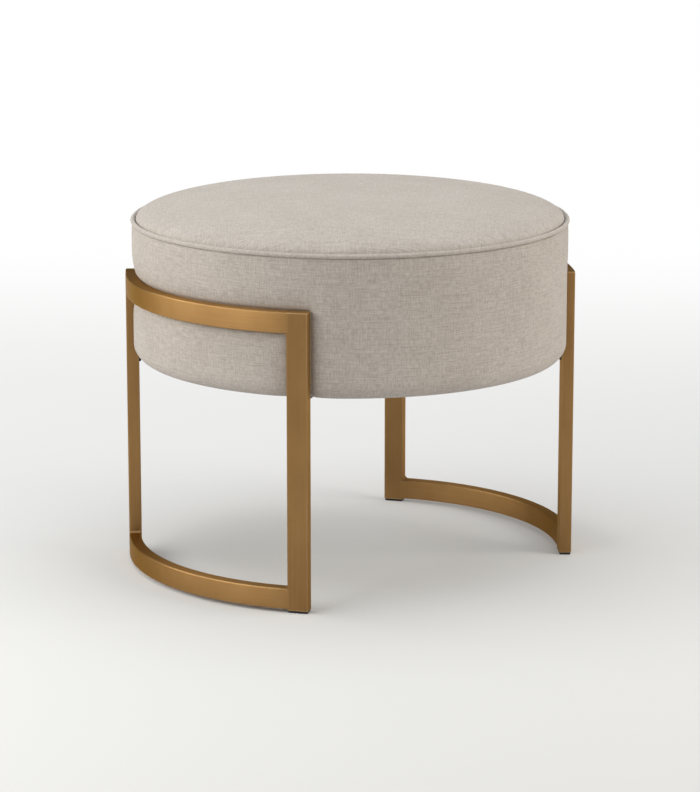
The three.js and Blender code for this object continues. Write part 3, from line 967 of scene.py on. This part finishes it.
# The whole cover as one skin: from the hem, up round the edge and the side, and in over the crown.
# Its rows are close at the rails' edges, where the cloth creases.
cover_rows = [(hem_reach + hem_width * step / 5, seat_bottom) for step in range(5)]
cover_rows += edge_rows(0.0, 8)
for low, high, steps in (
    (edge_top, upper_low.z - 0.009, 8),
    (upper_low.z - 0.004, upper_low.z - 0.0016, 1),
    (upper_low.z - 0.0004, frame_top + 0.0004, 5),
    (frame_top + 0.0016, frame_top + 0.004, 1),
    (frame_top + 0.009, boxing_top - 0.0005, 8),
):
    cover_rows += upright_rows(0.0, low, high, steps)
cover_rows += [(seat_radius - 0.0014, boxing_top), (cord_radius - 0.0012, boxing_top + 0.0004)]
cover_rows += crown_rows(0.0, 0.0055)
cover = draw_rows(cover_rows, cover_columns)
fill_end(cover, lambda place: place.z > crown_base, cover_columns // 4)
tidy_faces(cover, 180)
raise_crown(cover)
settle_columns(cover)
press_in(cover)

seam_hold = 0.010
board_hold = 0.016
tube_hold = 0.008


# 1 where the cloth is held by the seam, the board or a tube, and 0 where it is free
def held(place):
    if place.z > crown_base - 0.0001:
        return ease_off(crown_reach - place.xy.length, seam_hold)
    by_seam = ease_off(boxing_top - 0.001 - place.z, seam_hold)
    by_board = ease_off(place.z - seat_bottom - 0.003, board_hold)
    by_tube = ease_off(off_tube(math.atan2(place.y, place.x), place.z) - 0.002, tube_hold)
    return max(by_seam, by_board, by_tube)


# The skin starts a little slack, and is blown up against its seams and the tubes by air pressure. The
# foam below stops it from sinking in, and its own tightness from swelling far.
slack = 0.0012
middle_swell = 0.0004
most_swell = 0.0006
blow_frames = 20
grip = [held(vert.co) for vert in cover.data.vertices]
full = [vert.co.copy() for vert in cover.data.vertices]
facing = [vert.normal.copy() for vert in cover.data.vertices]
group = cover.vertex_groups.new(name="held")
for vert, outward, hold in zip(cover.data.vertices, facing, grip):
    vert.co -= outward * slack * (1 - hold)
    group.add([vert.index], hold, "REPLACE")
select_only(cover)
blown = cover.modifiers.new("blown", "CLOTH")
set_up(blown.settings, quality=5, mass=0.3, tension_stiffness=30, compression_stiffness=30,
       shear_stiffness=12, bending_stiffness=1.5, air_damping=4, use_pressure=True,
       uniform_pressure_force=4, vertex_group_mass="held")
blown.settings.effector_weights.gravity = 0
blown.collision_settings.use_collision = False
set_up(blown.point_cache, frame_start=1, frame_end=blow_frames)
for step in range(1, blow_frames + 1):
    bpy.context.scene.frame_set(step)
bpy.ops.object.modifier_apply(modifier=blown.name)
bpy.context.scene.frame_set(1)
for vert, was, outward in zip(cover.data.vertices, full, facing):
    swell = ((vert.co - was).dot(outward) - middle_swell) / most_swell
    vert.co = was + outward * (middle_swell + most_swell * math.tanh(swell))
cover.vertex_groups.clear()


# Gives a skin the thickness of its cloth, inwards
def thicken(piece, thickness):
    apply_modifier(piece, "SOLIDIFY", thickness=thickness, offset=-1)
    bpy.ops.object.shade_smooth()


def cover_part(kept, place_on_map):
    part = copy_of(cover)
    pick(part, "FACE", lambda face: not kept(middle(face)))
    bpy.ops.mesh.delete(type="FACE")
    apply_modifier(part, "SUBSURF", levels=1, render_levels=1)
    map_metres(part, "cloth_metres", place_on_map)
    thicken(part, cloth)
    return part


# How far round from the upright seam, in metres at a radius or as an angle at a radius of 1
def around(point, radius):
    return ((math.atan2(point.y, point.x) - seam_angle) % (2 * math.pi)) * radius


# Keeps a face's corners on the side of the map's join that its middle is on
def unwrapped(corner, face_middle, whole):
    if abs(corner - face_middle) > whole / 2:
        corner += whole * (1 if corner < face_middle else -1)
    return corner


def boxing_map(point, face):
    u = unwrapped(around(point, seat_radius), around(face.center, seat_radius), seam_length)
    inner = seat_radius - seat_edge
    reach = point.xy.length
    if point.z > edge_top:
        return u, point.z
    turn = math.atan2(edge_top - point.z, max(1e-6, reach - inner))
    return u, edge_top - seat_edge * turn - max(0.0, inner - reach)


top_panel = cover_part(lambda place: place.z > crown_base, lambda point, face: (point.x, point.y))
finish_piece(top_panel, "sewn_top_panel", linen_top, "top_panel")

boxing = cover_part(lambda place: place.z < boxing_top + 0.00015, boxing_map)
finish_piece(boxing, "sewn_boxing", linen_side, "boxing")
bpy.data.objects.remove(cover)

# Piping. A cord wrapped in a strip of the same linen, cut on the bias and sewn into the seam between
# the top panel and the boxing. It is a hand-sewn line, so it wanders by a fraction of a millimetre.

wander_out = 0.00022
wander_up = 0.0003
thicker_share = 0.05
join_share = 0.08
join_angle = 0.05

linen_bias = linen_material("oatmeal_linen_bias", turned=math.radians(45))
start_modelling()
bpy.ops.mesh.primitive_torus_add(major_radius=cord_radius, minor_radius=cord_thickness / 2,
                                 major_segments=480, minor_segments=18, location=(0, 0, crown_base))
piping = settled()
for vert in piping.data.vertices:
    angle = math.atan2(vert.co.y, vert.co.x)
    direction = Vector((math.cos(angle), math.sin(angle), 0))
    core = direction * cord_radius + Vector((0, 0, crown_base))
    wander = Vector((math.cos(angle), math.sin(angle), 0.3)) * 9
    from_join = min(around(vert.co, 1.0), 2 * math.pi - around(vert.co, 1.0))
    thicker = 1 + thicker_share * noise.noise(wander * 2.2)
    thicker *= 1 + join_share * ease_off(from_join, join_angle)
    lift = wander_up * noise.noise(wander + Vector((7, 3, 1)))
    shift = direction * (wander_out * noise.noise(wander)) + Vector((0, 0, lift))
    vert.co = core + (vert.co - core) * thicker + shift
tidy_faces(piping, 180)


def piping_map(point, face):
    u = unwrapped(around(point, cord_radius), around(face.center, cord_radius), 2 * math.pi * cord_radius)
    turned, face_turned = (math.atan2(place.z - crown_base, cord_radius - place.xy.length + 1e-9)
                           for place in (point, face.center))
    return u, unwrapped(turned, face_turned, 2 * math.pi) * cord_thickness / 2


map_metres(piping, "cloth_metres", piping_map)
finish_piece(piping, "bias_piping", linen_bias, "piping")

# Dust cover. A disc of thin black non-woven cloth is stapled under the base board over the turned-in
# linen, so that the inside of the drum can't be seen from below.

felt_low, felt_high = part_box("dust_cover")
felt_reach = felt_high.x
felt_level = felt_high.z - 0.0001
felt_thickness = 0.0003
felt_sag = 0.00022
staple_inset = 0.006
staple_reach = felt_reach - staple_inset
staple_size = (0.0100, 0.0011, 0.0005)
staple_bend = 0.0003
staple_count = 48
tab_clearance = 0.018

non_woven, tree, shader = new_material("black_non_woven", (0.016, 0.016, 0.017), 0.95)
shader.inputs["Sheen Weight"].default_value = 0.2
laid_cloth = object_place(tree)
webbed, webs = mottled(tree, laid_cloth, (900.0, 260.0, 260.0), 5.0,
                       (0.012, 0.012, 0.013), (0.040, 0.040, 0.041), 0.35, 0.7)
raised = add_up(tree, webs, celled(tree, laid_cloth, 650.0, 0.15, 0.45))
finish_material(tree, shader, webbed, remap(tree, webs, 0.3, 0.7, 0.85, 1.0), raised, 0.0002, 0.6)

dust_sheet = draw_rows([(felt_reach, felt_level), (staple_reach, felt_level)], 144)
fill_end(dust_sheet, lambda place: place.xy.length < felt_reach - staple_inset / 2, 36)
tidy_faces(dust_sheet, 180)
for vert in dust_sheet.data.vertices:
    pulled = noise.noise(Vector((vert.co.x * 14, vert.co.y * 14, 2.0)))
    vert.co.z -= felt_sag * (1 + pulled) * ease_off(vert.co.xy.length - 0.19, 0.02)
apply_modifier(dust_sheet, "SUBSURF", levels=1, render_levels=1)
thicken(dust_sheet, felt_thickness)
finish_piece(dust_sheet, "stapled_dust_sheet", non_woven, "dust_cover")


# Staples: fine wire crowns, a thumb's width apart, left out where a tab covers the edge
def staple():
    piece = add_block(staple_size, (0, 0, 0))
    pick(piece, "FACE", lambda face: abs(face.normal.x) > 0.9)
    bpy.ops.mesh.bevel(offset=staple_bend, segments=2, affect="EDGES")
    tidy_faces(piece, 40)
    return piece


plain_staple = staple()
staples = []
for number in range(staple_count):
    angle = 2 * math.pi * (number + 0.5) / staple_count
    if abs(folded(angle) - joint_angle - tab_middle / staple_reach) * staple_reach < tab_clearance:
        continue
    tilt = math.radians(7 * math.sin(number * 12.9898))
    place = Vector((staple_reach * math.cos(angle), staple_reach * math.sin(angle), felt_low.z - 0.0002))
    turn = Matrix.Rotation(angle + math.pi / 2 + tilt, 4, "Z")
    staples.append(copy_of(plain_staple, Matrix.Translation(place) @ turn))
bpy.data.objects.remove(plain_staple)
start_modelling()
for each in staples:
    each.select_set(True)
bpy.context.view_layer.objects.active = staples[0]
bpy.ops.object.join()
finish_piece(bpy.context.object, "dust_sheet_staples", zinc_plate)

# Studio. A pale paper floor that fades to white, a broad soft light overhead, one at each side, and a
# pale room that is darker a little above the horizon. The camera stands where the photograph's did,
# which was worked out from the frames' edges.

camera_turn = math.radians(-38.704)
camera_pitch = math.radians(12.808)
camera_distance = 3.9035
camera_height = 1.0851
floor_size = 60.0

start_modelling()
bpy.ops.mesh.primitive_plane_add(size=floor_size, location=(0, 0, 0))
floor = bpy.context.object
floor.name = "studio_floor"
paper, tree, shader = new_material("floor_paper", (0.655, 0.66, 0.67), 0.95)
ray = add_node(tree, "ShaderNodeLightPath")
seen = add_up(tree, ray["Is Camera Ray"], ray["Is Glossy Ray"], ray["Is Transmission Ray"])
away = (-math.sin(camera_turn), math.cos(camera_turn), 0)
behind = add_node(tree, "ShaderNodeVectorMath", {0: object_place(tree), 1: away}, operation="DOT_PRODUCT")
far_off = add_node(tree, "ShaderNodeVectorMath", {0: object_place(tree)}, operation="LENGTH")
fades = remap(tree, behind["Value"], -0.5, 2.2), remap(tree, far_off["Value"], 1.5, 4.0)
for fade in fades:
    fade.node.interpolation_type = "SMOOTHSTEP"
white_share = times(tree, seen, maths(tree, "MAXIMUM", *fades))
white = add_node(tree, "ShaderNodeEmission")["Emission"]
surface = add_node(tree, "ShaderNodeMixShader", {"Fac": white_share, 1: shader.outputs["BSDF"], 2: white})
tree.links.new(surface["Shader"], tree.nodes["Material Output"].inputs["Surface"])
floor.data.materials.append(paper)

bpy.ops.object.camera_add()
camera = bpy.context.object
camera.name = "photo_camera"
set_up(camera.data, sensor_width=36.0, lens=149.22, clip_end=200.0)
camera.location = Vector((math.sin(camera_turn), -math.cos(camera_turn), 0)) * camera_distance
camera.location.z = camera_height
camera.rotation_euler = (math.pi / 2 - camera_pitch, 0, camera_turn)
bpy.context.scene.camera = camera


# A soft box stands at an angle round from the camera, and faces the seat
def soft_box(name, angle, distance, height, width, depth, power, colour):
    turn = camera_turn + math.radians(angle)
    place = Vector((math.sin(turn) * distance, -math.cos(turn) * distance, height))
    bpy.ops.object.light_add(type="AREA", location=place)
    lamp = bpy.context.object
    lamp.name = name
    set_up(lamp.data, shape="RECTANGLE", size=width, size_y=depth, energy=power, color=colour)
    lamp.rotation_euler = (Vector((0, 0, 0.3)) - place).to_track_quat("-Z", "Y").to_euler()


soft_box("overhead", 0, 0.05, 2.4, 2.2, 2.2, 25.5, (0.83, 0.92, 1.0))
soft_box("left_side", -74, 1.6, 0.95, 2.7, 0.7, 28, (1.0, 0.98, 0.92))
soft_box("right_side", 75, 2.0, 1.0, 1.2, 1.4, 24, (1.0, 0.94, 0.84))

world = bpy.data.worlds.new("studio_room")
bpy.context.scene.world = world
world.use_nodes = True
tree = world.node_tree
rising = parts_of(tree, add_node(tree, "ShaderNodeTexCoord")["Generated"])["Z"]
walls = add_node(tree, "ShaderNodeValToRGB", {"Fac": rising})["Color"]
ramp = walls.node.color_ramp.elements
stops = ((0.0, 0.80), (0.06, 0.60), (0.16, 0.18), (0.38, 0.20), (0.60, 0.50), (1.0, 0.60))
for position, level in stops[1:-1]:
    ramp.new(position)
for element, (position, level) in zip(ramp, stops):
    element.position = position
    element.color = (level, 0.95 * level, 0.87 * level, 1.0)
tree.links.new(walls, tree.nodes["Background"].inputs["Color"])

bpy.context.scene.view_settings.view_transform = "Standard"
